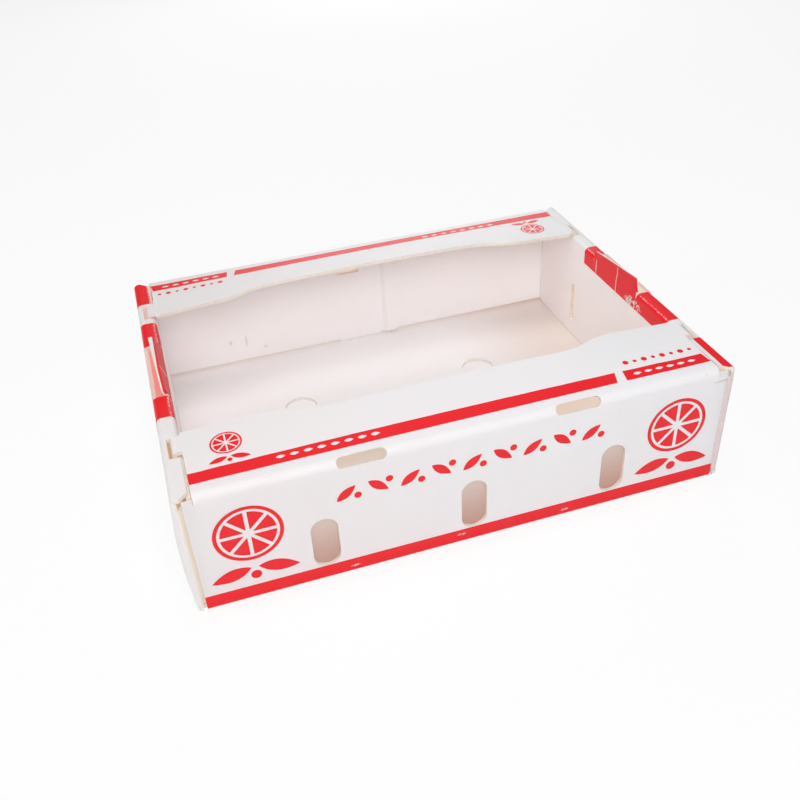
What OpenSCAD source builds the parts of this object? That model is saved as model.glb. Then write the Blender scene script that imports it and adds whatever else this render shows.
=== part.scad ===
// Produce box folded from one die-cut sheet of twin-wall plastic board.
// The floor carries two long walls with inward flanges, and two end walls that roll over into
// a ledge and an inner panel. Corner flaps of the end walls line the long walls from inside.
// Front is -Y, the origin is on the ground under the middle of the floor, sizes are millimetres.

/* [Box] */
// Length over the end ledges
box_l = 400; // [360:5:480]
// Width over the long walls
box_w = 300; // [270:5:360]
// Height of the end ledges above the ground
box_h = 100; // [90:1:140]

/* [Sheet] */
// Thickness of the twin-wall sheet
sheet_t = 3; // [2:0.25:3.5]
// Gap between layers of the sheet that lie on each other
layer_gap = 0.4; // [0.3:0.1:0.8]
// Thickness of the sheet's two skins and of the ribs between them
skin_t = 0.4; // [0.3:0.05:0.6]
// Distance between neighbouring ribs
flute_pitch = 3; // [2.5:0.25:5]
// Depth to which the flutes stand open at the long walls' upright ends
flute_depth = 4; // [2:0.5:6]
// Outer radius of the folds round the floor
floor_fold_r = 3.5; // [3.25:0.25:6]
// Outer radius of the folds along the ledges
ledge_fold_r = 4; // [3.75:0.25:5]
// Outer radius of the soft folds at the top of the long walls
flange_fold_r = 7; // [6:0.5:10]
// Outer radius of the upright corners, where they are straight
corner_fold_r = 3.5; // [3.25:0.25:5]
// How far the upright corners stand out past the lining
corner_out = 2.2; // [1:0.2:2.6]

/* [Long walls] */
// Height of a long wall at its fold
wall_h = 101; // [90:1:140]
// Distance of a long wall's upright ends from the ends of the box
wall_inset = 6.4; // [6.25:0.25:8]
// Width of an upright vent
vent_w = 19; // [12:1:24]
// Height of an upright vent
vent_h = 43; // [30:1:50]
// Height of a vent's middle above the ground
vent_z = 34.5; // [30:0.5:45]
// Distance between neighbouring vents
vent_pitch = 107.5; // [80:0.5:125]
// Length of the slots along the top folds
fold_slot_l = 34; // [20:1:50]
// Width of the slots across the top folds
fold_slot_w = 8; // [5:0.5:8]
// Distance of a fold slot's middle from the middle of the wall
fold_slot_x = 77; // [50:1:110]
// Angle of the slots' middle line below straight up, round the fold
fold_slot_turn = 50; // [44:1:52]

/* [Flanges] */
// Depth of a flange past its fold, at the middle
flange_mid_d = 50; // [30:1:70]
// Depth of a flange past its fold, at the ends
flange_end_d = 60; // [58:1:80]
// Distance of the step in a flange's edge from the middle
flange_step_x = 112; // [80:1:130]
// Length of the step in a flange's edge
flange_step_l = 45; // [25:1:60]
// Radius of a flange's free corners
flange_corner_r = 3; // [1:0.5:3]
// Angle by which a flange springs up from level, at its middle
flange_tilt = 7.5; // [4:0.5:9]
// Angle by which a flange springs up from level, at its locked ends
flange_end_tilt = 2; // [1:0.5:3.5]
// Clearance between a flange's ends and the inner panels
flange_clear = 0.6; // [0.4:0.1:1.2]

/* [Ends] */
// Width of a ledge, from the end wall's outer face to the inner panel's inner face
ledge_w = 13; // [12:0.5:18]
// How far an end wall bows out at half its height
end_bow = 2.5; // [1:0.5:4]
// Length of the stacking tab of an end
tab_l = 73; // [50:1:100]
// Distance of the stacking tabs behind the middle of the ends
tab_y = 5; // [0:1:8]
// How far the tab's upright end slants in from the ledge to its top
tab_slant = 5; // [2:0.5:8]
// Height of the stacking tab above the ledge at its upright end
tab_h = 11; // [8:0.5:14]
// Height of the stacking tab above the ledge at its other end
tab_low_h = 4; // [2:0.5:7]
// Angle by which the right end's stacking tab leans out
tab_lean = 2; // [0:1:16]
// Angle by which the left end's stacking tab leans out
tab_left_lean = 18; // [0:1:20]
// Clearance at each end of the stacking tab
tab_clear = 0.8; // [0.5:0.1:2]
// Drop from the ledge to the edge of the outer wall that the tab was cut from
cut_drop = 1; // [0.5:0.25:2]
// Distance of a lock slot's middle from the outside of the long wall
lock_in = 55; // [50:1:60]
// Length of a lock slot along the ledge
lock_l = 22; // [16:1:26]
// Width of the flat strip of ledge left beside a lock slot
lock_rim = 0.5; // [0.25:0.25:1]
// Depth of a flange's lip below its fold into the lock slot
lip_d = 9; // [4:1:14]
// Clearance of a lip at each end of its lock slot
lip_clear = 2.5; // [2:0.5:4]
// Size of the chamfer at a ledge's free corners
ear_chamfer = 6; // [3:0.5:7]
// Distance of a ledge's free ends from the outside of the long walls
ear_short = 2; // [0:0.25:2]
// Inset of a ledge's free edge beyond the lock slots
ear_inset = 1.5; // [0.5:0.25:2.5]
// Distance of the inner panel's slots from its middle
panel_slot_y = 75; // [55:1:110]
// Width of the inner panel's slots
panel_slot_w = 8; // [5:0.5:14]
// Height of the inner panel's slots
panel_slot_h = 38; // [20:1:46]
// Height of the middle of the inner panel's slots above the ground
panel_slot_z = 36; // [30:1:45]

/* [Lining] */
// Gap between the lining's lower edge and the floor
lining_lift = 2.5; // [1:0.25:5]
// Height of the lining's upper edge above the ground
lining_top = 91; // [70:1:91]
// How far the longer flap reaches past the middle of the wall
lining_over = 33; // [20:1:60]
// Length of the longer flap's end that laps over the shorter flap
lining_lap = 9; // [6:0.5:15]
// Length of the longer flap's foot
foot_l = 42; // [20:1:60]
// Distance of the foot from the end of the flap
foot_in = 15; // [13:1:25]
// Width of the notch in the longer flap's upper edge
notch_w = 20; // [10:1:30]
// Depth of the notch in the longer flap's upper edge
notch_d = 17; // [8:1:25]
// Distance of the notch from the end of the flap
notch_in = 33; // [28:1:50]

/* [Floor] */
// Diameter of the floor's drain holes
drain_d = 28; // [10:1:40]
// Distance of a drain hole from the middle along the box
drain_x = 83; // [40:1:130]
// Distance of a drain hole from the middle across the box
drain_y = 53; // [30:1:90]

/* [Hidden] */
$fn = 64;
// Overshoot of cuts
over = 1;
// Flat strips that make up a fold of a long side
fold_steps = 10;
// Flat strips that make up a flange's bow along the box
bow_steps = 12;
// Length of a flange's straight ends, past the bow
straight_l = 8;
// Height of the cuts that shape a bowed flange
bow_cut = 24;
t = sheet_t;
gap = layer_gap;
half_l = box_l / 2;
half_w = box_w / 2;
// Half sizes of the flat floor, up to its folds
floor_x = half_l - floor_fold_r;
floor_y = half_w - floor_fold_r;
// Centre of a top fold, seen along the box, for the front wall
fold_y = half_w - flange_fold_r;
fold_z = wall_h - flange_fold_r;
// Inner panel, and the flange that ends just inside it
panel_x = half_l - ledge_w;
panel_top = box_h - ledge_fold_r;
flange_half = panel_x - flange_clear;
bow_half = flange_half - straight_l;
// Upright ends of the long walls
wall_x = half_l - wall_inset;
wall_top = box_h - t - gap;
// Layers of the lining, from the long wall inwards
lining_y = half_w - t - gap;
lap_y = lining_y - t - gap;
panel_half = lining_y - t - gap;
lining_z = t + lining_lift;
// Upright corners grow with the bow, about one centre
corner_r = corner_fold_r + end_bow;
corner_x = half_l - corner_fold_r;
corner_y = lining_y + corner_out - corner_r;
// Where the lining starts, past the joggle from the corner
joggle_x = corner_x - t;
// The bow of an end wall between its folds
bow_h = panel_top - floor_fold_r;
bow_r = (bow_h * bow_h / 4 + end_bow * end_bow) / (2 * end_bow);
// The step in a flange's edge is two arcs of this radius
step_d = flange_end_d - flange_mid_d;
step_r = (flange_step_l * flange_step_l + step_d * step_d) / (4 * step_d);
// A lock slot's middle, its ends and its edge that faces the outside
lock_y = half_w - lock_in;
lock_from = lock_y - lock_l / 2;
lock_to = lock_y + lock_l / 2;
lock_x = half_l - ledge_fold_r - lock_rim;
// A flange's lip passes down between the end wall and the inner panel; its ends are measured from the fold
lip_x = panel_x + t + gap + t - ledge_fold_r;
lip_mid = (fold_y + flange_fold_r * sin(flange_end_tilt) - lock_y) / cos(flange_end_tilt);
lip_from = lip_mid - lock_l / 2 + lip_clear;
lip_to = lip_mid + lock_l / 2 - lip_clear;

// Shapes used in several places

module stadium(length, width) {
    for (side = [-1, 1]) translate([side * (length - width) / 2, 0]) circle(d = width);
    square([length - width, width], center = true);
}

// Section of a fold between two directions, in degrees, about the fold's centre
module fold_section(r, from, to) {
    far = 2 * r;
    mid = (from + to) / 2;
    intersection() {
        difference() {
            circle(r = r);
            circle(r = r - t);
        }
        polygon([[0, 0], far * [cos(from), sin(from)], far * [cos(mid), sin(mid)], far * [cos(to), sin(to)]]);
    }
}

// Extrude a section in Y and Z along the box, centred
module along_x(length) rotate([90, 0, 90]) linear_extrude(length, center = true) children();

// Extrude a section in X and Z across the box, between two places
module along_y(from, to) translate([0, to, 0]) rotate([90, 0, 0]) linear_extrude(to - from) children();

// A closed solid through rings of points, each ring clockwise when seen from the ring after it.
// A ring runs along one face of the sheet and back along the other, so strips of quads close its ends.
module loft(rings) {
    n = len(rings[0]);
    last = (len(rings) - 1) * n;
    polyhedron(
        points = [for (ring = rings, point = ring) point],
        faces = concat(
            [for (i = [0:n / 2 - 2]) [n - 1 - i, n - 2 - i, i + 1, i]],
            [for (i = [0:n / 2 - 2]) [last + i, last + i + 1, last + n - 2 - i, last + n - 1 - i]],
            [for (k = [0:n:last - n], i = [0:n - 1]) [k + i, k + (i + 1) % n, k + n + (i + 1) % n]],
            [for (k = [0:n:last - n], i = [0:n - 1]) [k + i, k + n + (i + 1) % n, k + n + i]]));
}

// Floor

module floor_panel() {
    difference() {
        translate([-floor_x, -floor_y, 0]) cube([2 * floor_x, 2 * floor_y, t]);
        for (x = [-drain_x, drain_x], y = [-drain_y, drain_y])
            translate([x, y, -over]) cylinder(d = drain_d, h = t + 2 * over);
    }
}

// Front wall with its flange

// Points round a fold, in degrees about its centre
function fold_arc(centre, r, from, to) =
    [for (i = [0:fold_steps]) let (a = from + (to - from) * i / fold_steps) centre + r * [cos(a), sin(a)]];

function backwards(points) = [for (i = [len(points) - 1:-1:0]) points[i]];

// Section of the wall up to a height, with its fold at the floor
module wall_section(top) {
    polygon(concat(
        fold_arc([-floor_y, floor_fold_r], floor_fold_r, 270, 180),
        [[-half_w, top], [-half_w + t, top]],
        fold_arc([-floor_y, floor_fold_r], floor_fold_r - t, 180, 270)));
}

// The flange's angle along the box: it bows up between its straight ends, which the lips hold down
function bow_at(x) = 1 - pow(min(1, abs(x) / bow_half), 2);
function tilt_at(x) = flange_end_tilt + (flange_tilt - flange_end_tilt) * bow_at(x);

// A point on the flange in section, at a distance from the fold and a height over the upper face
function flange_point(tilt, d, h) =
    [-fold_y, fold_z] + (flange_fold_r + h) * [-sin(tilt), cos(tilt)] + d * [cos(tilt), sin(tilt)];

// One face of the flange and its fold in section, with points where the lips start
function flange_face(tilt, h) = concat(
    fold_arc([-fold_y, fold_z], flange_fold_r + h, 180, 90 + tilt),
    [for (d = [lip_from, lip_to, flange_end_d]) flange_point(tilt, d, h)]);

function flange_ring(x) =
    [for (p = concat(flange_face(tilt_at(x), 0), backwards(flange_face(tilt_at(x), -t)))) [x, p[0], p[1]]];

// The flange with its fold, lofted along the box
module flange() {
    bow = [for (i = [0:bow_steps]) bow_half * (2 * i / bow_steps - 1)];
    loft([for (x = concat([-flange_half], bow, [flange_half])) flange_ring(x)]);
}

// A lip's face in its side view: over the inner panel, round a fold and down
function lip_face(h) = concat(
    [[flange_half, h]],
    fold_arc([lip_x, -ledge_fold_r], ledge_fold_r + h, 90, 0),
    [[lip_x + ledge_fold_r + h, -ledge_fold_r - lip_d]]);

function lip_point(p, d) = concat([p[0]], flange_point(flange_end_tilt, d, p[1]));

// The lip at the flange's right end, lofted from the flange's own edge
module lip() {
    upper = lip_face(0);
    lower = lip_face(-t);
    loft([for (i = [0:len(upper) - 1])
        [lip_point(upper[i], lip_from), lip_point(upper[i], lip_to),
         lip_point(lower[i], lip_to), lip_point(lower[i], lip_from)]]);
}

// Mouths of the flutes between the ribs, in a row up the wall's right end
module flute_mouths() {
    mouth_h = flute_pitch - skin_t;
    count = floor((wall_top - floor_fold_r) / flute_pitch);
    for (i = [0:count - 1])
        translate([wall_x - flute_depth, -half_w + skin_t, floor_fold_r + skin_t / 2 + i * flute_pitch])
            cube([flute_depth + over, t - 2 * skin_t, mouth_h]);
}

// What the flange lacks between its two deeper ends, in the flange's plane
module flange_bay() {
    flat_x = flange_step_x - flange_step_l / 2;
    end_x = flange_step_x + flange_step_l / 2;
    translate([-flat_x, flange_mid_d]) square([2 * flat_x, step_d + over]);
    for (side = [0, 1]) mirror([side, 0]) {
        intersection() {
            translate([flat_x, flange_mid_d + step_r]) circle(r = step_r, $fn = 256);
            translate([flat_x, flange_mid_d]) square([flange_step_l / 2, step_d + over]);
        }
        difference() {
            translate([flange_step_x, flange_mid_d]) square([flange_step_l / 2, step_d + over]);
            translate([end_x, flange_end_d - step_r]) circle(r = step_r, $fn = 256);
        }
    }
}

module flange_corners() {
    far = [flange_half + over, flange_end_d + over];
    centre = [flange_half - flange_corner_r, flange_end_d - flange_corner_r];
    for (side = [0, 1]) mirror([side, 0])
        polygon(concat(
            fold_arc(centre, flange_corner_r, 0, 90),
            [[centre[0], far[1]], far, [far[0], centre[1]]]));
}

// Places things in the flange's plane at a tilt: X along the fold, Y away from it, Z up
module in_flange_plane(tilt) {
    start = [-fold_y, fold_z] + flange_fold_r * [-sin(tilt), cos(tilt)];
    translate([0, start[0], start[1]]) rotate([tilt, 0, 0]) children();
}

module vents() {
    for (i = [-1:1]) translate([i * vent_pitch, -half_w + t + over, vent_z]) rotate([90, 90, 0])
        linear_extrude(t + 2 * over) stadium(vent_h, vent_w);
}

// Slots through a top fold
module fold_slots() {
    for (x = [-fold_slot_x, fold_slot_x]) translate([x, -fold_y, fold_z]) rotate([fold_slot_turn, 0, 0])
        linear_extrude(flange_fold_r + over) stadium(fold_slot_l, fold_slot_w);
}

module wall_end() {
    difference() {
        translate([(flange_half + wall_x) / 2, 0, 0]) along_x(wall_x - flange_half) wall_section(wall_top);
        // A slit between the flange's fold and the wall's end
        translate([flange_half - over, -half_w - over, fold_z]) cube([gap + over, t + 2 * over, box_h]);
        flute_mouths();
    }
}

module long_side() {
    difference() {
        union() {
            along_x(2 * flange_half) wall_section(fold_z);
            flange();
        }
        in_flange_plane(flange_tilt) linear_extrude(bow_cut, center = true) flange_bay();
        in_flange_plane(flange_end_tilt) linear_extrude(bow_cut, center = true) flange_corners();
        vents();
        fold_slots();
    }
    for (side = [0, 1]) mirror([side, 0, 0]) {
        lip();
        wall_end();
    }
}

// Right end: outer wall, ledge, inner panel and stacking tab

// Section of everything inside the bowed outer face, moved in by a distance
module bow_section(inset) {
    translate([half_l + end_bow - bow_r - inset, floor_fold_r + bow_h / 2]) circle(r = bow_r, $fn = 512);
}

// Plan of the outer wall with its round corners, moved in by a distance
module corner_plan(inset) {
    r = corner_r - inset;
    for (side = [-1, 1]) translate([corner_x, side * corner_y]) intersection() {
        circle(r = r);
        translate([0, -r]) square([r, 2 * r]);
    }
    translate([corner_x, -corner_y]) square([r, 2 * corner_y]);
}

module outer_wall(tab_at) {
    difference() {
        intersection() {
            translate([0, 0, floor_fold_r]) linear_extrude(bow_h) corner_plan(0);
            along_y(-half_w, half_w) bow_section(0);
        }
        intersection() {
            translate([0, 0, floor_fold_r - over]) linear_extrude(bow_h + 2 * over) union() {
                corner_plan(t);
                translate([corner_x - over, -corner_y]) square([over, 2 * corner_y]);
            }
            along_y(-half_w, half_w) bow_section(t);
        }
    }
    along_y(-lining_y - corner_out, lining_y + corner_out)
        translate([floor_x, floor_fold_r]) fold_section(floor_fold_r, 270, 360);
    // The edge left standing where the stacking tab was cut free
    along_y(tab_at - tab_l / 2, tab_at + tab_l / 2)
        translate([half_l - t, panel_top]) square([t, ledge_fold_r - cut_drop]);
}

// Plan of the ledge between its two folds, outwards from one end of the tab's slot
module ledge_plan(slot_end) {
    fold_x = half_l - ledge_fold_r;
    ear_x = panel_x + ear_inset;
    ear_y = half_w - ear_short;
    translate([panel_x + ledge_fold_r, slot_end])
        square([fold_x - panel_x - ledge_fold_r, lock_from - slot_end]);
    translate([lock_x, lock_from - over]) square([lock_rim, lock_l + 2 * over]);
    polygon([[ear_x, lock_to], [fold_x, lock_to], [fold_x, ear_y],
             [ear_x + ear_chamfer, ear_y], [ear_x, ear_y - ear_chamfer]]);
}

module half_ledge(slot_end) {
    along_y(slot_end, half_w - ear_short)
        translate([half_l - ledge_fold_r, panel_top]) fold_section(ledge_fold_r, 0, 90);
    along_y(slot_end, lock_from)
        translate([panel_x + ledge_fold_r, panel_top]) fold_section(ledge_fold_r, 90, 180);
    translate([0, 0, box_h - t]) linear_extrude(t) ledge_plan(slot_end);
}

module ledge(tab_at) {
    half_ledge(tab_l / 2 + tab_at);
    mirror([0, 1, 0]) half_ledge(tab_l / 2 - tab_at);
}

module panel_outline() {
    difference() {
        translate([-panel_half, t + gap]) square([2 * panel_half, panel_top - t - gap]);
        for (side = [-1, 1]) translate([side * panel_slot_y, panel_slot_z])
            rotate(90) stadium(panel_slot_h, panel_slot_w);
    }
}

module inner_panel() {
    translate([panel_x, 0, 0]) rotate([90, 0, 90]) linear_extrude(t) panel_outline();
}

// Side view of the tab above the ledge: one upright end, slanting in, and a slope down to the other end
module tab_outline() {
    half = tab_l / 2 - tab_clear;
    polygon([[-half, -ledge_fold_r - over], [half, -ledge_fold_r - over], [half, tab_low_h],
             [-half + tab_slant, tab_h], [-half, 0]]);
}

// The tab stands up from the inner panel, out of the ledge that it was cut from
module stacking_tab(lean) {
    across = [-t * cos(lean), t * sin(lean)];
    outer_top = (tab_h + 2 * ledge_fold_r) * [sin(lean), cos(lean)];
    intersection() {
        along_y(-tab_l / 2, tab_l / 2) translate([panel_x + t, panel_top])
            polygon([[0, 0], [-t, 0], across + outer_top, outer_top]);
        translate([half_l, 0, box_h]) along_x(4 * ledge_w) tab_outline();
    }
}

module end_side(tab_at, lean) {
    outer_wall(tab_at);
    ledge(tab_at);
    inner_panel();
    translate([0, tab_at, 0]) stacking_tab(lean);
}

// Lining of the back wall: a longer flap from the left, lapping over a shorter one from the right

module long_flap_plan() {
    lap_x = lining_over - lining_lap;
    step = t + gap;
    polygon([[-corner_x, lining_y + corner_out], [-joggle_x, lining_y], [lap_x - step, lining_y], [lap_x, lap_y], [lining_over, lap_y],
             [lining_over, lap_y - t], [lap_x, lap_y - t], [lap_x - step, lining_y - t],
             [-joggle_x, lining_y - t], [-corner_x, lining_y + corner_out - t]]);
}

module long_flap_outline() {
    difference() {
        union() {
            translate([-corner_x, lining_z]) square([corner_x + lining_over, lining_top - lining_z]);
            translate([lining_over - foot_in - foot_l, t + gap]) square([foot_l, lining_lift]);
        }
        translate([lining_over - notch_in - notch_w, lining_top - notch_d]) square([notch_w, notch_d + over]);
    }
}

module lining() {
    intersection() {
        linear_extrude(box_h) long_flap_plan();
        along_y(0, half_w) long_flap_outline();
    }
    short_end = lining_over - lining_lap + gap;
    translate([0, 0, lining_z]) linear_extrude(lining_top - lining_z)
        polygon([[short_end, lining_y], [joggle_x, lining_y], [corner_x, lining_y + corner_out],
                 [corner_x, lining_y + corner_out - t], [joggle_x, lining_y - t], [short_end, lining_y - t]]);
}

// The whole folded sheet; its two halves are alike when turned half round, but for the tabs' place and lean

module folded_sheet() {
    color("whitesmoke") {
        floor_panel();
        for (turn = [0, 180]) rotate([0, 0, turn]) {
            long_side();
            end_side(cos(turn) * tab_y, turn == 0 ? tab_lean : tab_left_lean);
            lining();
        }
    }
}

folded_sheet();
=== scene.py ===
"""Corrugated plastic produce box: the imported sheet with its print, wear, light and camera."""
import math

import bmesh
import bpy
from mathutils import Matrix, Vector
from mathutils.bvhtree import BVHTree
from mathutils.geometry import tessellate_polygon


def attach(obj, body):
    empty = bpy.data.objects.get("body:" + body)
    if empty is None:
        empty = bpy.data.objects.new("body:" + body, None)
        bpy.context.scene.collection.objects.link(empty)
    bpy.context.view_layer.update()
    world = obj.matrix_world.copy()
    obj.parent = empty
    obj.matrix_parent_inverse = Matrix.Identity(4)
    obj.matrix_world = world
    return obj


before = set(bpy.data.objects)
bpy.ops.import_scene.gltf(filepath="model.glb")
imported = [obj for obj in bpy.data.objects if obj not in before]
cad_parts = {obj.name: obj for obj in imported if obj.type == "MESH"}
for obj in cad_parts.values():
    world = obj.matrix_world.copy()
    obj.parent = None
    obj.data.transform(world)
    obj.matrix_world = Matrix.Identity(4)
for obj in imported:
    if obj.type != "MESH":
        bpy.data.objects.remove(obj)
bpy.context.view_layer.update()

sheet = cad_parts["folded_sheet"]

# Sizes repeated from the part's source, in millimetres and degrees
MM = 0.001
HALF_L = 200
HALF_W = 150
LEDGE_TOP = 100
SHEET_T = 3
LAYER_GAP = 0.4
FLUTE_PITCH = 3
WALL_H = 101
WALL_INSET = 6.4
LEDGE_W = 13
LEDGE_FOLD_R = 4
TAB_L = 73
TAB_Y = 5
RIGHT_TAB_LEAN = 2
LEFT_TAB_LEAN = 18

# Faces and folds worked out from them
WALL_IN = HALF_W - SHEET_T
WALL_X = HALF_L - WALL_INSET
WALL_TOP = LEDGE_TOP - SHEET_T - LAYER_GAP
LINING_Y = WALL_IN - LAYER_GAP
LINING_IN = LINING_Y - SHEET_T
PANEL_X = HALF_L - LEDGE_W
PANEL_BACK = PANEL_X + SHEET_T
PANEL_TOP = LEDGE_TOP - LEDGE_FOLD_R
LEDGE_FOLD_X = HALF_L - LEDGE_FOLD_R
TAB_HALF = TAB_L / 2

# Where a flange's upper side leaves its fold, and where it ends, seen from above
FLANGE_FROM = 143.5
FLANGE_TO = 82

# A face looks along an axis if its normal's part along it is over this
FLAT = 0.9

# Points of the sheet that are closer than this are one, in millimetres
WELD = 0.002

# Ink starts just clear of the sheet, and its top stands a twentieth of a millimetre off it
INK_LOW = 0.012
INK_HIGH = 0.05

# The stripe along the foot of a long wall, the print on the ends and limits outside the whole box
STRIPE_LOW = 0.25
STRIPE_TOP = 13
STRIPE_ROUND = 3.1
END_PRINT_LOW = 85.5
END_PRINT_FROM = -77
END_PRINT_TO = 58
RIGHT_EAR_FROM = 191.5
RIGHT_EAR_TO = -106
LEFT_EAR_FROM = PANEL_X - 1
LEFT_EAR_TO = -110
PAST_END = 210
PAST_TOP = 130


# Shaders


class Shader:
    """Builds a material's nodes with short calls; lengths in it are millimetres in the frame."""

    def __init__(self, name):
        self.material = bpy.data.materials.new(name)
        self.material.use_nodes = True
        self.tree = self.material.node_tree
        self.tree.nodes.clear()
        spot = self.node("ShaderNodeTexCoord").outputs["Object"]
        scaled = self.node("ShaderNodeVectorMath", {"operation": "SCALE"}, Vector=spot, Scale=1 / MM)
        self.place = scaled.outputs[0]
        self.x, self.y, self.z = self.split(self.place)
        self.abs_x = self.math("ABSOLUTE", self.x)
        self.abs_y = self.math("ABSOLUTE", self.y)
        face = self.node("ShaderNodeNewGeometry").outputs["True Normal"]
        self.nx, self.ny, self.nz = self.split(face)

    def feed(self, socket, value):
        """Links an output to a socket, or sets a plain value on it."""
        if isinstance(value, bpy.types.NodeSocket):
            self.tree.links.new(value, socket)
        else:
            socket.default_value = value

    def node(self, kind, settings=None, **inputs):
        made = self.tree.nodes.new(kind)
        for key, value in (settings or {}).items():
            setattr(made, key, value)
        for key, value in inputs.items():
            self.feed(made.inputs[key.replace("_", " ")], value)
        return made

    def split(self, vector):
        return self.node("ShaderNodeSeparateXYZ", Vector=vector).outputs[:]

    def math(self, operation, *values):
        made = self.node("ShaderNodeMath", {"operation": operation})
        for socket, value in zip(made.inputs, values):
            self.feed(socket, value)
        return made.outputs[0]

    def chain(self, operation, values):
        """One operation over any number of values."""
        total = values[0]
        for value in values[1:]:
            total = self.math(operation, total, value)
        return total

    def add(self, *values):
        return self.chain("ADD", values)

    def times(self, *values):
        return self.chain("MULTIPLY", values)

    def most(self, *values):
        return self.chain("MAXIMUM", values)

    def minus(self, a, b):
        return self.math("SUBTRACT", a, b)

    def inverse(self, mask):
        return self.minus(1.0, mask)

    def apart(self, a, b):
        """Distance between two values."""
        return self.math("ABSOLUTE", self.minus(a, b))

    def below(self, value, limit):
        return self.math("LESS_THAN", value, limit)

    def above(self, value, limit):
        return self.math("GREATER_THAN", value, limit)

    def ramp(self, value, low, high):
        """0 below low and 1 above high, smooth between; low above high turns it round."""
        start, end = (0.0, 1.0) if low < high else (1.0, 0.0)
        made = self.node(
            "ShaderNodeMapRange", {"interpolation_type": "SMOOTHSTEP"},
            Value=value, From_Min=min(low, high), From_Max=max(low, high), To_Min=start, To_Max=end)
        return made.outputs[0]

    def band(self, value, low, high, soft):
        """1 between low and high, with soft borders."""
        return self.times(
            self.ramp(value, low - soft, low + soft),
            self.ramp(value, high + soft, high - soft))

    def noise(self, size, detail=2.0, roughness=0.5):
        """Noise from 0 to 1 with features of about a size, in millimetres."""
        made = self.node(
            "ShaderNodeTexNoise", Vector=self.place, Scale=1 / size, Detail=detail, Roughness=roughness)
        return made.outputs["Fac"]

    def blob(self, centre, radii, soft=0.5):
        """1 inside an ellipsoid, falling to 0 round it."""
        squares = []
        for value, middle, radius in zip((self.x, self.y, self.z), centre, radii):
            offset = self.times(self.minus(value, middle), 1 / radius)
            squares.append(self.times(offset, offset))
        return self.ramp(self.add(*squares), 1 + soft, 1 - soft)

    def mix(self, amount, a, b):
        made = self.node("ShaderNodeMix", {"data_type": "RGBA"})
        self.feed(made.inputs[0], amount)
        for socket, value in ((made.inputs[6], a), (made.inputs[7], b)):
            self.feed(socket, (*value, 1) if isinstance(value, tuple) else value)
        return made.outputs[2]

    def bump(self, height, depth, normal=None):
        """A normal from heights of 0 to 1 that stand for a depth in millimetres, on top of another."""
        made = self.node("ShaderNodeBump", Height=height, Distance=depth * MM, Strength=1.0)
        if normal is not None:
            self.feed(made.inputs["Normal"], normal)
        return made.outputs[0]

    def output(self, surface):
        out = self.node("ShaderNodeOutputMaterial")
        self.tree.links.new(surface.outputs[0], out.inputs["Surface"])
        return self.material

    def principled(self, **inputs):
        return self.output(self.node("ShaderNodeBsdfPrincipled", **inputs))


# The board


def flute_ripple(s):
    """The ribs that show faintly through the skins.

    They run along the box on floor, long walls and flanges, and upright elsewhere.
    """
    on_long_wall = s.above(s.abs_y, WALL_IN - 0.2)
    faces_y = s.above(s.math("ABSOLUTE", s.ny), 0.7)
    upright = s.times(faces_y, on_long_wall)
    sideways = s.times(faces_y, s.inverse(on_long_wall))
    across = s.add(s.times(s.inverse(faces_y), s.y), s.times(upright, s.z), s.times(sideways, s.x))
    wave = s.math("COSINE", s.times(across, 2 * math.pi / FLUTE_PITCH))
    return s.math("MULTIPLY_ADD", wave, 0.5, 0.5)


def inside_box(s):
    """1 on the faces inside the box."""
    return s.times(
        s.ramp(s.abs_x, PANEL_X + 0.6, PANEL_X + 0.2),
        s.ramp(s.abs_y, WALL_IN + 0.1, WALL_IN - 0.1),
        s.ramp(s.z, PANEL_TOP + 1.5, PANEL_TOP - 1))


def board_tint_and_painted_light(s, inside):
    """The board's white, cooler outside and warmer inside, with light and shade painted into it.

    The outside is painted darker and warmer towards the left end, and the inside painted lighter, with a
    faint painted glow for the weak daylight through the board, stronger on the end panels. The floor inside
    is painted lighter in the middle, shaded at the right end and warm and shaded under the front flange,
    with a warm glow there.
    """
    painted_shade_outer_left, painted_light_outer_right, painted_light_inner = (0.835, 0.795, 0.800), (0.858, 0.850, 0.868), (0.925, 0.900, 0.904)
    floor_painted_light, floor_painted_shade, warm_painted_shade = (0.945, 0.930, 0.936), (0.77, 0.680, 0.622), (0.95, 0.81, 0.70)
    on_floor = s.times(inside, s.ramp(s.z, SHEET_T + 1, SHEET_T + 0.2))
    under_flange = s.times(s.ramp(s.y, 45, -60), on_floor)
    # Outside painted darker and warmer towards the left end; inside painted lighter, as if lit through the
    # board
    colour = s.mix(inside, s.mix(s.ramp(s.x, -HALF_L, 120), painted_shade_outer_left, painted_light_outer_right), painted_light_inner)
    # The floor is painted lighter in the middle, shaded at the right end, and warm and shaded under the
    # front flange
    colour = s.mix(s.times(s.band(s.x, -70, 60, 60), on_floor), colour, floor_painted_light)
    colour = s.mix(s.times(s.ramp(s.x, 60, 180), on_floor), colour, floor_painted_shade)
    colour = s.mix(under_flange, colour, warm_painted_shade)

    # A faint painted glow inside, for the weak daylight through the board, warmer under the front flange
    no_glow, inner_glow = (0.0, 0.0, 0.0), (0.040, 0.034, 0.034)
    panel_glow, warm_glow = (0.075, 0.050, 0.045), (0.12, 0.085, 0.055)
    end_panels = s.below(s.times(s.nx, s.x), -150.0)
    painted_glow = s.mix(under_flange, s.mix(end_panels, inner_glow, panel_glow), warm_glow)
    return colour, s.mix(inside, no_glow, painted_glow)


def uneven(s, colour, broad, clouds, ripple):
    """Faint patches in the white, and the ribs' shade."""
    colour = s.mix(s.times(broad, 0.10), colour, (0.80, 0.765, 0.745))
    colour = s.mix(s.times(s.ramp(clouds, 0.45, 0.75), 0.05), colour, (0.74, 0.70, 0.68))
    return s.mix(s.times(ripple, 0.025), colour, (0.72, 0.70, 0.71))


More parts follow.
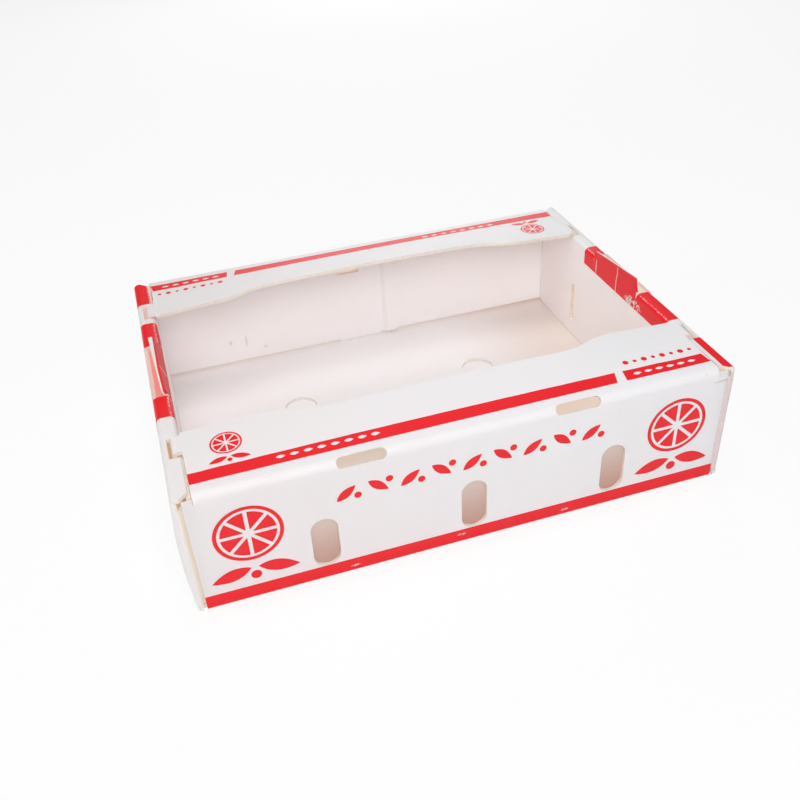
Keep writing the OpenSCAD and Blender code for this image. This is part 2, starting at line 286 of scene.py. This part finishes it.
def behind_vents(s, colour, away):
    """The lining close behind the vents: in their shade, and pink from the red stripe lower down."""
    pink_shade, shade = (0.53, 0.32, 0.265), (0.64, 0.515, 0.455)
    facing = s.times(s.band(s.abs_y, LINING_Y - 0.3, LINING_Y + 0.2, 0.1), s.above(away, FLAT))
    return s.mix(facing, colour, s.mix(s.ramp(s.z, 16, 54), pink_shade, shade))


def hollow_ends(s, colour, glow):
    """Daylight through the skins into the hollow ends.

    It is tan on the left, with pink from the print behind its tab, and pale near the corners and on
    the right.
    """
    outward = s.add(s.times(s.nx, s.x), s.times(s.ny, s.y))
    hollow = s.times(
        s.ramp(s.abs_x, PANEL_BACK - 0.7, PANEL_BACK - 0.3),
        s.ramp(s.abs_y, WALL_IN + 0.1, WALL_IN - 0.1),
        s.most(s.ramp(s.z, LEDGE_TOP - 0.7, LEDGE_TOP - 1.3), s.below(s.nz, 0.3)),
        s.most(s.below(s.abs_x, PANEL_BACK + 0.6), s.below(outward, 0.0)))
    pink = s.times(s.band(s.y, 40, 128, 8), s.ramp(s.x, 1, -1))
    pale = s.most(s.ramp(s.x, -1, 1), s.ramp(s.abs_y, 128, 140))
    tan_lit, pink_lit, pale_lit = (0.64, 0.51, 0.40), (0.74, 0.43, 0.41), (0.80, 0.74, 0.69)
    tan_glow, pink_glow, pale_glow = (0.22, 0.165, 0.11), (0.27, 0.13, 0.12), (0.22, 0.18, 0.155)
    lit = s.mix(pale, s.mix(pink, tan_lit, pink_lit), pale_lit)
    through = s.mix(pale, s.mix(pink, tan_glow, pink_glow), pale_glow)
    return s.mix(hollow, colour, lit), s.mix(hollow, glow, through)


def corners(s, colour, glow):
    """Corners: pinkish on the right, and where the sheet steps back beside the wall, in shade, a painted
    cream highlight with a painted glow on the left, pinkish on the right.
    """
    cream, pinkish, corner_pink = (0.90, 0.81, 0.70), (0.82, 0.70, 0.68), (0.78, 0.66, 0.665)
    cream_glow, pinkish_glow = (0.09, 0.072, 0.055), (0.03, 0.022, 0.020)
    on_right = s.above(s.x, 0.0)
    painted_light_step = s.times(
        s.ramp(s.abs_x, PANEL_BACK + 0.2, PANEL_BACK + 0.5),
        s.ramp(s.abs_y, LINING_Y - 0.3, LINING_Y - 0.1),
        s.below(s.times(s.nx, s.math("SIGN", s.x)), -0.3))
    corner = s.times(
        s.ramp(s.abs_x, HALF_L - 8, HALF_L - 7), s.ramp(s.abs_y, HALF_W - 11, HALF_W - 7),
        s.ramp(s.z, PANEL_TOP + 0.5, PANEL_TOP - 0.5), on_right)
    colour = s.mix(s.times(corner, 0.8), colour, corner_pink)
    # The shaded step beside the wall is painted as a cream highlight on the left and pinkish on the right,
    # with a painted glow
    colour = s.mix(painted_light_step, colour, s.mix(on_right, cream, pinkish))
    return colour, s.mix(painted_light_step, glow, s.mix(on_right, cream_glow, pinkish_glow))


def behind_notches(s, colour, glow, away):
    """The long walls' insides, seen through the notches in the lining, painted a warm tan with a painted
    glow.
    """
    facing = s.times(s.band(s.abs_y, WALL_IN - 0.05, WALL_IN + 0.05, 0.03), s.below(away, -FLAT))
    # Painted warm tone and painted glow on the wall inside behind the notches
    return s.mix(facing, colour, (0.82, 0.68, 0.60)), s.mix(facing, glow, (0.30, 0.235, 0.20))


def back_stains(s, colour, inside):
    """Small stains low on the back lining: place along it, height, and half sizes."""
    stains = ((-127.4, 25.9, 1.5, 2.2), (-112.8, 25, 0.9, 5.5), (-95.6, 15.1, 1.8, 1.1))
    spots = [s.blob((x, LINING_IN, z), (wide, 9, tall), 0.7) for x, z, wide, tall in stains]
    on_back = s.times(s.above(s.y, HALF_W - 20), inside)
    return s.mix(s.times(s.most(*spots), on_back, 0.35), colour, (0.42, 0.38, 0.36))


def front_crease(s):
    """A short crease at the front wall's right end, which rises to the right."""
    crease_x, crease_z, slope = 186.0, 90.5, 0.08
    line = s.add(crease_z, s.times(s.minus(s.x, crease_x), slope))
    on_front = s.below(s.y, -HALF_W + 1)
    return s.times(s.ramp(s.apart(s.z, line), 1.3, 0.1), s.ramp(s.x, 180, 188), on_front)


def board_material():
    """White fluted plastic board, warmer inside, with marks of use, and with light and shade painted into it
    in places.
    """
    s = Shader("fluted_board")
    ripple = flute_ripple(s)
    broad = s.noise(60)
    clouds = s.noise(14, detail=3)
    grain = s.noise(0.7)
    inside = inside_box(s)
    away = s.times(s.ny, s.math("SIGN", s.y))
    crease = front_crease(s)
    nick = s.blob((176.4, -147, 98.5), (0.6, 6, 0.5))

    colour, glow = board_tint_and_painted_light(s, inside)
    colour = uneven(s, colour, broad, clouds, ripple)
    colour = behind_vents(s, colour, away)
    colour, glow = hollow_ends(s, colour, glow)
    colour, glow = corners(s, colour, glow)
    colour, glow = behind_notches(s, colour, glow, away)
    colour = back_stains(s, colour, inside)
    # The crease is painted darker, for the shade along it, and a small nick is darkened too
    colour = s.mix(s.times(s.most(crease, nick), 0.45), colour, (0.50, 0.46, 0.45))

    normal = s.bump(broad, 0.5)
    normal = s.bump(ripple, 0.012, normal)
    normal = s.bump(grain, 0.003, normal)
    normal = s.bump(crease, 0.35, normal)
    rough = s.math("MULTIPLY_ADD", clouds, 0.16, 0.38)
    return s.principled(
        Base_Color=colour, Roughness=rough, Normal=normal, Specular_IOR_Level=0.35,
        Subsurface_Weight=0.15, Subsurface_Radius=(1.0, 0.80, 0.74), Subsurface_Scale=0.004,
        Emission_Color=glow, Emission_Strength=1.0)


def across_tab(s):
    """Distance outward from a stacking tab's outer face; the left tab leans further out."""
    right, left = (
        s.add(s.times(s.minus(s.abs_x, PANEL_BACK), math.cos(lean)),
              s.times(s.minus(s.z, PANEL_TOP), -math.sin(lean)))
        for lean in (math.radians(RIGHT_TAB_LEAN), math.radians(LEFT_TAB_LEAN)))
    on_right = s.above(s.x, 0.0)
    return s.add(s.times(right, on_right), s.times(left, s.inverse(on_right)))


def cut_edge_material():
    """Cut edges of the board: cream, a little rough, with print on the edges beside the tabs."""
    s = Shader("board_cut_edge")
    patches = s.noise(5, detail=3)
    fibres = s.noise(0.6)
    cream, dull_cream, fibre = (0.92, 0.87, 0.81), (0.84, 0.77, 0.69), (0.72, 0.64, 0.56)
    pink, red_ink = (0.80, 0.42, 0.40), (0.78, 0.03, 0.04)
    colour = s.mix(s.times(s.ramp(patches, 0.35, 0.7), 0.5), cream, dull_cream)
    colour = s.mix(s.times(fibres, 0.12), colour, fibre)
    # The edge that a stacking tab was cut from is pink from the print on both sides
    at_tab = s.ramp(s.apart(s.y, TAB_Y), TAB_HALF + 1, TAB_HALF)
    cut_out = s.times(
        s.ramp(s.abs_x, LEDGE_FOLD_X, LEDGE_FOLD_X + 1), s.ramp(s.z, PANEL_TOP, PANEL_TOP + 2), at_tab)
    colour = s.mix(s.times(cut_out, 0.7), colour, pink)
    # Print runs over the crushed inner half of the tabs' edges
    crushed = s.times(
        s.ramp(across_tab(s), -0.9, -1.3), s.ramp(s.abs_x, LEDGE_FOLD_X - 1, LEDGE_FOLD_X - 2),
        s.ramp(s.z, LEDGE_TOP + 0.5, LEDGE_TOP + 1), at_tab)
    colour = s.mix(crushed, colour, red_ink)
    return s.principled(
        Base_Color=colour, Roughness=0.55, Normal=s.bump(fibres, 0.03), Specular_IOR_Level=0.3,
        Subsurface_Weight=0.15, Subsurface_Radius=(1.0, 0.8, 0.65), Subsurface_Scale=0.003)


def ink_wear(s):
    """Where the ink is gone: cracked at folds, flaked on the tabs, scuffed and rubbed along the foot."""
    specks = s.noise(1.5, detail=3, roughness=0.7)
    from_tab = s.apart(s.y, TAB_Y)
    # Cracks along the ledges' inner folds
    fold = s.times(
        s.band(s.abs_x, PANEL_X + 1.6, PANEL_X + 2.4, 0.4),
        s.band(s.z, LEDGE_TOP - 1.6, LEDGE_TOP + 0.4, 0.3),
        s.ramp(from_tab, TAB_HALF, TAB_HALF + 2))
    worn = [s.times(fold, s.ramp(specks, 0.50, 0.56))]
    # Thin cracks up the tabs, each at its place across a tab and up to its top
    turned_y = s.times(s.y, s.math("SIGN", s.x))
    wander = s.times(s.minus(s.noise(7, detail=1), 0.5), 3)
    on_panel = s.ramp(s.abs_x, LEDGE_FOLD_X - 1, LEDGE_FOLD_X - 3)
    for at, top in ((1.0, 120), (36.0, 98)):
        line = s.apart(turned_y, s.add(at, wander))
        worn.append(s.times(s.ramp(line, 0.75, 0.35), on_panel, s.ramp(s.z, top + 1, top)))
    # Flakes below one end of each tab
    flakes = s.ramp(s.noise(2.8, detail=3, roughness=0.6), 0.48, 0.52)
    for side in (1, -1):
        worn.append(s.times(s.blob((side * PANEL_X, -27 * side, 89), (4, 12, 5), 0.6), flakes))
    # Small scuffs on the front wall's bottom stripe
    for x, z in ((-88.9, 6.0), (-9.6, 8.6), (70.8, 6.3)):
        scuff = s.blob((x, -HALF_W, z), (3.2, 4, 0.9), 0.8)
        worn.append(s.times(scuff, s.ramp(specks, 0.44, 0.54)))
    # Ink worn off along the folded bottom edge
    worn.append(s.times(s.ramp(s.z, 1.3, 0.3), s.ramp(specks, 0.42, 0.62), 0.6))
    return s.most(*worn)


def ink_material():
    """Red print, rubbed at the bottom edge and cracked where the sheet is folded, with a faint painted glow
    on the right tab's inner side.
    """
    s = Shader("red_print")
    clouds = s.noise(9, detail=3)
    worn = ink_wear(s)
    bright, deep, bare = (0.86, 0.010, 0.018), (0.78, 0.008, 0.016), (0.84, 0.79, 0.78)
    colour = s.mix(s.times(clouds, 0.25), bright, deep)
    colour = s.mix(s.times(worn, 0.9), colour, bare)

    normal = s.bump(s.noise(60), 0.5)
    normal = s.bump(s.noise(0.9), 0.003, normal)
    rough = s.math("MULTIPLY_ADD", clouds, 0.12, 0.36)
    # The right tab's inner side gets a faint painted red glow, for light from behind as well
    painted_backlight = s.times(s.ramp(s.x, PANEL_X - 7, PANEL_X - 5), s.below(s.nx, -0.5), s.inverse(worn))
    return s.principled(
        Base_Color=colour, Roughness=rough, Normal=normal, Specular_IOR_Level=0.35,
        Emission_Color=s.mix(painted_backlight, (0.0, 0.0, 0.0), (0.05, 0.0, 0.001)), Emission_Strength=1.0)


# The sheet


def mark_cut_edges(data, slot):
    """Gives the cut edges their own slot: behind them the board goes on for more than its thickness.

    The tops of the wall ends, under the ledges, stay white.
    """
    start = 0.01 * MM
    deep = 1.2 * SHEET_T * MM
    tree = BVHTree.FromPolygons([v.co for v in data.vertices], [p.vertices for p in data.polygons])
    for face in data.polygons:
        depth = tree.ray_cast(face.center - face.normal * start, -face.normal)[3]
        under_ledge = face.normal.z > FLAT and abs(face.center.z - WALL_TOP * MM) < 0.1 * MM
        if depth is not None and depth > deep and not under_ledge:
            face.material_index = slot


def soften_folds(obj, degrees):
    """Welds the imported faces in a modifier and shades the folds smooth, with true cut edges left sharp."""
    tree = bpy.data.node_groups.new("soft_folds", "GeometryNodeTree")
    tree.interface.new_socket("Geometry", in_out="INPUT", socket_type="NodeSocketGeometry")
    tree.interface.new_socket("Geometry", in_out="OUTPUT", socket_type="NodeSocketGeometry")
    start = tree.nodes.new("NodeGroupInput")
    end = tree.nodes.new("NodeGroupOutput")
    plain = tree.nodes.new("GeometryNodeRemoveAttribute")
    plain.inputs["Name"].default_value = "custom_normal"
    weld = tree.nodes.new("GeometryNodeMergeByDistance")
    weld.inputs["Distance"].default_value = WELD * MM
    angle = tree.nodes.new("GeometryNodeInputMeshEdgeAngle")
    gentle = tree.nodes.new("FunctionNodeCompare")
    gentle.data_type = "FLOAT"
    gentle.operation = "LESS_THAN"
    gentle.inputs[1].default_value = math.radians(degrees)
    faces = tree.nodes.new("GeometryNodeSetShadeSmooth")
    faces.domain = "FACE"
    edges = tree.nodes.new("GeometryNodeSetShadeSmooth")
    edges.domain = "EDGE"
    link = tree.links.new
    link(start.outputs[0], plain.inputs["Geometry"])
    link(plain.outputs[0], weld.inputs["Geometry"])
    link(weld.outputs[0], faces.inputs[0])
    link(faces.outputs[0], edges.inputs[0])
    link(angle.outputs["Unsigned Angle"], gentle.inputs[0])
    link(gentle.outputs[0], edges.inputs["Shade Smooth"])
    link(edges.outputs[0], end.inputs[0])
    obj.modifiers.new("soft_folds", "NODES").node_group = tree


board = board_material()
cut_edge = cut_edge_material()
red = ink_material()
sheet.data.materials.clear()
sheet.data.materials.append(board)
sheet.data.materials.append(cut_edge)
mark_cut_edges(sheet.data, slot=1)
soften_folds(sheet, degrees=25)


# Ink


def printed_piece(name, bm):
    bmesh.ops.recalc_face_normals(bm, faces=bm.faces)
    data = bpy.data.meshes.new(name)
    bm.to_mesh(data)
    bm.free()
    data.polygons.foreach_set("use_smooth", [True] * len(data.polygons))
    data.set_sharp_from_angle(angle=math.radians(30))
    data.materials.append(red)
    piece = bpy.data.objects.new(name, data)
    bpy.context.scene.collection.objects.link(piece)
    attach(piece, "root")
    return piece


def ink(name, shapes, to_frame):
    """Closed flat ink: each shape is an outline and its holes, drawn in a panel's own plane."""
    bm = bmesh.new()
    for shape in shapes:
        loops = [[Vector((u, v, 0)) for u, v in loop] for loop in shape]
        flat = [p for loop in loops for p in loop]
        low = [bm.verts.new(to_frame(p.x, p.y, INK_LOW)) for p in flat]
        high = [bm.verts.new(to_frame(p.x, p.y, INK_HIGH)) for p in flat]
        for a, b, c in tessellate_polygon(loops):
            bm.faces.new((low[a], low[b], low[c]))
            bm.faces.new((high[a], high[b], high[c]))
        first = 0
        for loop in loops:
            for i in range(len(loop)):
                a, b = first + i, first + (i + 1) % len(loop)
                bm.faces.new((low[a], low[b], high[b], high[a]))
            first += len(loop)
    return printed_piece(name, bm)


def turned(turn, low, high):
    """A box on the front or right, turned half round for the back or left."""
    if turn > 0:
        return low, high
    return (-high[0], -high[1], low[2]), (-low[0], -low[1], high[2])


def wrapped_ink(name, turn, low, high, keep):
    """Ink that follows the sheet round its folds: its own faces inside a box, lifted off and closed.

    The box and the test of a face are those of the front or right; turn -1 is the back or left.
    """
    low, high = turned(turn, low, high)
    half_turn = Vector((turn, turn, 1))
    bm = bmesh.new()
    bm.from_mesh(sheet.data)
    bmesh.ops.remove_doubles(bm, verts=bm.verts, dist=WELD * MM)
    for axis in range(3):
        for limit, side in ((low[axis], -1), (high[axis], 1)):
            point, normal = Vector(), Vector()
            point[axis], normal[axis] = limit * MM, side
            bmesh.ops.bisect_plane(
                bm, geom=bm.verts[:] + bm.edges[:] + bm.faces[:], dist=1e-7,
                plane_co=point, plane_no=normal, clear_outer=True)
    bm.normal_update()
    others = [
        f for f in bm.faces if not keep(f.calc_center_median() / MM * half_turn, f.normal * half_turn)]
    bmesh.ops.delete(bm, geom=others, context="FACES")
    return closed_skin(name, bm)


def closed_skin(name, bm):
    """Ink from faces that lie on the sheet: lifted clear of it, given its thickness and closed."""
    bm.normal_update()
    outward = {v: v.normal.copy() for v in bm.verts}
    made = bmesh.ops.extrude_face_region(bm, geom=bm.faces[:], use_keep_orig=True)["geom"]
    for v in made:
        if isinstance(v, bmesh.types.BMVert):
            v.co += v.normal * INK_HIGH * MM
    for v, normal in outward.items():
        v.co += normal * INK_LOW * MM
    for face in bm.faces:
        face.material_index = 0
    return printed_piece(name, bm)


def clipped(points, a, b):
    """The part of a flat convex outline to the left of a line."""
    sides = [(b - a).cross(p - a) for p in points]
    kept = []
    for i, p in enumerate(points):
        here, before = sides[i], sides[i - 1]
        if here * before < 0:
            kept.append(points[i - 1].lerp(p, before / (before - here)))
        if here >= 0:
            kept.append(p)
    return kept


def flange_faces(turn):
    """Upper faces of the front or back flange, each with its plan in millimetres."""
    for face in sheet.data.polygons:
        middle = face.center / MM
        over = abs(middle.x) < PANEL_X and FLANGE_TO < -turn * middle.y < FLANGE_FROM
        if over and face.normal.z > FLAT and middle.z > WALL_H - 1:
            yield face, [(sheet.data.vertices[i].co / MM).to_2d() for i in face.vertices]


def flange_ink(name, shapes, turn):
    """Ink on a bowed flange: shapes drawn along its fold and away from it, laid on its faces."""
    bm = bmesh.new()
    faces = list(flange_faces(turn))
    for shape in shapes:
        loops = [[Vector((turn * u, turn * (d - FLANGE_FROM), 0)) for u, d in loop] for loop in shape]
        flat = [p.to_2d() for loop in loops for p in loop]
        for corner_ids in tessellate_polygon(loops):
            for face, plan in faces:
                part = [flat[i] for i in corner_ids]
                for i in range(len(plan)):
                    part = clipped(part, plan[i - 1], plan[i])
                if len(part) > 2:
                    c, n = face.center / MM, face.normal
                    heights = [c.z - ((p.x - c.x) * n.x + (p.y - c.y) * n.y) / n.z for p in part]
                    bm.faces.new([bm.verts.new(Vector((*p, z)) * MM) for p, z in zip(part, heights)])
    bmesh.ops.remove_doubles(bm, verts=bm.verts, dist=WELD / 2 * MM)
    bm.normal_update()
    bmesh.ops.reverse_faces(bm, faces=[f for f in bm.faces if f.normal.z < 0])
    return closed_skin(name, bm)


# Motifs


def polar(u, v, r, angle):
    return u + r * math.cos(angle), v + r * math.sin(angle)


def disc(u, v, r, count=40):
    return [polar(u, v, r, 2 * math.pi * i / count) for i in range(count)]


def leaf(u, v, length, width, degrees, count=14):
    """An almond leaf from its stalk end, in a direction."""
    fullness, taper = 0.85, 0.25
    shares = [i / count for i in range(count + 1)]
    bulge = [math.sin(math.pi * a) ** fullness * (1 - taper * a) for a in shares]
    side = [(length * a, 0.5 * width * b) for a, b in zip(shares, bulge)]
    points = side + [(a, -b) for a, b in side[-2:0:-1]]
    c, s = math.cos(math.radians(degrees)), math.sin(math.radians(degrees))
    return [(u + a * c - b * s, v + a * s + b * c) for a, b in points]


def leaf_row(u0, u1, v, length, width, count):
    """A row of small level leaves."""
    pitch = (u1 - u0) / count
    return [leaf(u0 + (i + 0.5) * pitch - length / 2, v, length, width, 0, 8) for i in range(count)]


def slice_wheel(u, v, r, segments=8, steps=10):
    """A round slice of fruit: a rind, and segments with even gaps between them."""
    rind_in, reach, gap = 0.885 * r, 0.80 * r, 0.055 * r
    half = math.pi / segments
    tip = gap / math.sin(half)
    spread = half - math.asin(gap / reach)
    shapes = [[disc(u, v, r, 64), disc(u, v, rind_in, 64)]]
    for k in range(segments):
        middle = half + 2 * half * k
        arc = [middle + spread * (2 * i / steps - 1) for i in range(steps + 1)]
        shapes.append([[polar(u, v, tip, middle), *(polar(u, v, reach, angle) for angle in arc)]])
    return shapes


def fruit(u, v, r):
    """The generic motif: a slice of fruit over two leaves and a berry."""
    shapes = slice_wheel(u, v, r)
    foot = v - 1.30 * r
    for side, degrees in ((1, -14), (-1, 194)):
        shapes.append([leaf(u + 0.10 * r * side, foot, 1.22 * r, 0.50 * r, degrees)])
    shapes.append([disc(u, foot - 0.30 * r, 0.16 * r, 24)])
    return shapes


def garland(u0, u1, v, tall, count=9):
    """A running row of slanted leaves with berries between them."""
    pitch = (u1 - u0) / count
    shapes = []
    for i in range(count):
        u = u0 + (i + 0.5) * pitch
        up = 1 if i % 2 == 0 else -1
        shapes.append([leaf(u - 0.36 * pitch, v - 0.36 * tall * up, 1.12 * tall, 0.50 * tall, 38 * up)])
        shapes.append([disc(u + 0.30 * pitch, v - 0.24 * tall * up, 0.17 * tall, 24)])
    return shapes


# The print


def on_wall(turn):
    """Puts a point of a long wall's drawing, and its height off the wall, in the frame."""
    return lambda u, v, h: Vector((turn * u, -turn * (HALF_W + h), v)) * MM


def wall_print():
    """A garland between two fruits."""
    shapes = garland(-100, 100, v=73.5, tall=15.5)
    for side in (-1, 1):
        shapes += fruit(side * 157, 60, r=23.5)
    return shapes


def flange_print():
    """A stripe and a bar with rows of open leaves, a row of dots and a small fruit."""
    near, far = 5.5, 16
    stripe = [(-188, near), (112, near), (115, far), (-188, far)]
    bar = [(119.5, near), (186, near), (184.5, far), (121, far)]
    shapes = [
        [stripe, *leaf_row(-131, -58, v=11.5, length=6.4, width=3.4, count=8)],
        [bar, *leaf_row(126, 178, v=10.8, length=6.4, width=3.2, count=6)]]
    first_dot, dot_pitch, small, large = 128, 7.4, 1.5, 2.2
    for i in range(8):
        shapes.append([disc(first_dot + dot_pitch * i, 24.0, small if i % 2 else large, 20)])
    return shapes + fruit(-158, 37.5, r=10.8)


def on_stripe(p, n):
    """Faces of the front wall's foot, with its fold."""
    return n.y < -0.15 and p.y < -HALF_W + STRIPE_ROUND


def on_end(p, n):
    """Faces of the right inner panel with its tab, of the ledge's top and of the end's outside."""
    on_panel = n.x < -0.3 and p.x < WALL_X - 0.1 and n.z > -0.4
    on_ledge = n.z > 0.3 and LEDGE_TOP - 1 < p.z < LEDGE_TOP + 0.5
    return on_panel or on_ledge or (n.x > 0.3 and p.x > LEDGE_FOLD_X and n.z > -0.3)


def on_ear(p, n):
    """Faces of a right ear's top and outside."""
    return (n.z > 0.3 and p.z > PANEL_TOP + 1) or (n.x > 0.3 and p.x > LEDGE_FOLD_X)


for where, turn in (("front", 1), ("back", -1)):
    ink(f"{where}_wall_print", wall_print(), on_wall(turn))
    flange_ink(f"{where}_flange_print", flange_print(), turn)
    wrapped_ink(
        f"{where}_wall_stripe", turn, (-WALL_X, -HALF_W - 1, STRIPE_LOW),
        (WALL_X, -HALF_W + STRIPE_ROUND + 0.1, STRIPE_TOP), on_stripe)

# The left ear's print starts further in and is shorter
ends = (("right", 1, RIGHT_EAR_FROM, RIGHT_EAR_TO), ("left", -1, LEFT_EAR_FROM, LEFT_EAR_TO))
for where, turn, ear_from, ear_to in ends:
    wrapped_ink(
        f"{where}_end_print", turn, (PANEL_X - 1, END_PRINT_FROM, END_PRINT_LOW),
        (PAST_END, END_PRINT_TO, PAST_TOP), on_end)
    wrapped_ink(
        f"{where}_ear_print", turn, (ear_from, -HALF_W - 1, PANEL_TOP + 0.5),
        (PAST_END, ear_to, PAST_TOP), on_ear)


# Floor, light and camera


def white_for_the_camera(tree, lit, white, share, out):
    """Shows the camera a share of plain white in place of what the lamps do."""
    path = tree.nodes.new("ShaderNodeLightPath")
    part = tree.nodes.new("ShaderNodeMath")
    part.operation = "MULTIPLY"
    part.inputs[1].default_value = share
    mixed = tree.nodes.new("ShaderNodeMixShader")
    link = tree.links.new
    link(path.outputs["Is Camera Ray"], part.inputs[0])
    link(part.outputs[0], mixed.inputs[0])
    link(lit.outputs[0], mixed.inputs[1])
    link(white.outputs[0], mixed.inputs[2])
    link(mixed.outputs[0], out.inputs["Surface"])


def floor_material():
    """White ground that keeps the box's shadow, with painted shade under the box, where only the drains show
    it.
    """
    s = Shader("studio_floor")
    painted_shade_under_box = s.times(s.below(s.abs_x, HALF_L - 15), s.below(s.abs_y, HALF_W - 15))
    # Painted shade under the box, which only the drains show
    colour = s.mix(painted_shade_under_box, (1, 1, 1), (0.86, 0.80, 0.79))
    lit = s.node("ShaderNodeBsdfDiffuse", Color=(0.92, 0.92, 0.92, 1))
    white = s.node("ShaderNodeEmission", Color=colour, Strength=1.0)
    out = s.node("ShaderNodeOutputMaterial")
    white_for_the_camera(s.tree, lit, white, 0.85, out)
    return s.material


def make_floor():
    bpy.ops.mesh.primitive_plane_add(size=30, location=(0, 0, -0.0002))
    ground = bpy.context.object
    ground.name = "studio_floor"
    ground.data.materials.append(floor_material())


def make_world(strength):
    world = bpy.data.worlds.new("studio")
    bpy.context.scene.world = world
    world.use_nodes = True
    tree = world.node_tree
    tree.nodes.clear()
    lit = tree.nodes.new("ShaderNodeBackground")
    lit.inputs["Color"].default_value = (1.0, 0.985, 0.975, 1)
    lit.inputs["Strength"].default_value = strength
    white = tree.nodes.new("ShaderNodeBackground")
    white.inputs["Color"].default_value = (1, 1, 1, 1)
    white.inputs["Strength"].default_value = 1.0
    out = tree.nodes.new("ShaderNodeOutputWorld")
    white_for_the_camera(tree, lit, white, 1.0, out)


def make_light(name, place, size, power, aim=(0, 0, 0.05)):
    """A round soft lamp that points at the box; metres and watts."""
    data = bpy.data.lights.new(name, "AREA")
    data.shape = "DISK"
    data.size = size
    data.energy = power
    light = bpy.data.objects.new(name, data)
    light.location = place
    light.rotation_euler = (Vector(aim) - Vector(place)).to_track_quat("-Z", "Y").to_euler()
    bpy.context.scene.collection.objects.link(light)


def make_camera(place, degrees, lens):
    data = bpy.data.cameras.new("camera")
    data.sensor_width = 36
    data.lens = lens
    data.clip_start = 0.01
    data.clip_end = 100
    camera = bpy.data.objects.new("camera", data)
    camera.location = place
    camera.rotation_euler = [math.radians(angle) for angle in degrees]
    bpy.context.scene.collection.objects.link(camera)
    bpy.context.scene.camera = camera


make_floor()
make_world(strength=0.18)
make_light("key", place=(-0.20, -1.22, 1.03), size=1.0, power=12.9)
make_light("overhead", place=(-0.08, -0.15, 1.6), size=0.8, power=8.6)
make_light("back_fill", place=(0.5, 1.7, 0.7), size=1.2, power=8)
make_light("left_fill", place=(-1.6, 0.1, 0.5), size=0.9, power=6)
make_camera(
    place=(-0.17212, -0.59105, 0.47024), degrees=(54.0041, 2.9447, -17.6882), lens=40.772)
bpy.context.scene.view_settings.view_transform = "Standard"
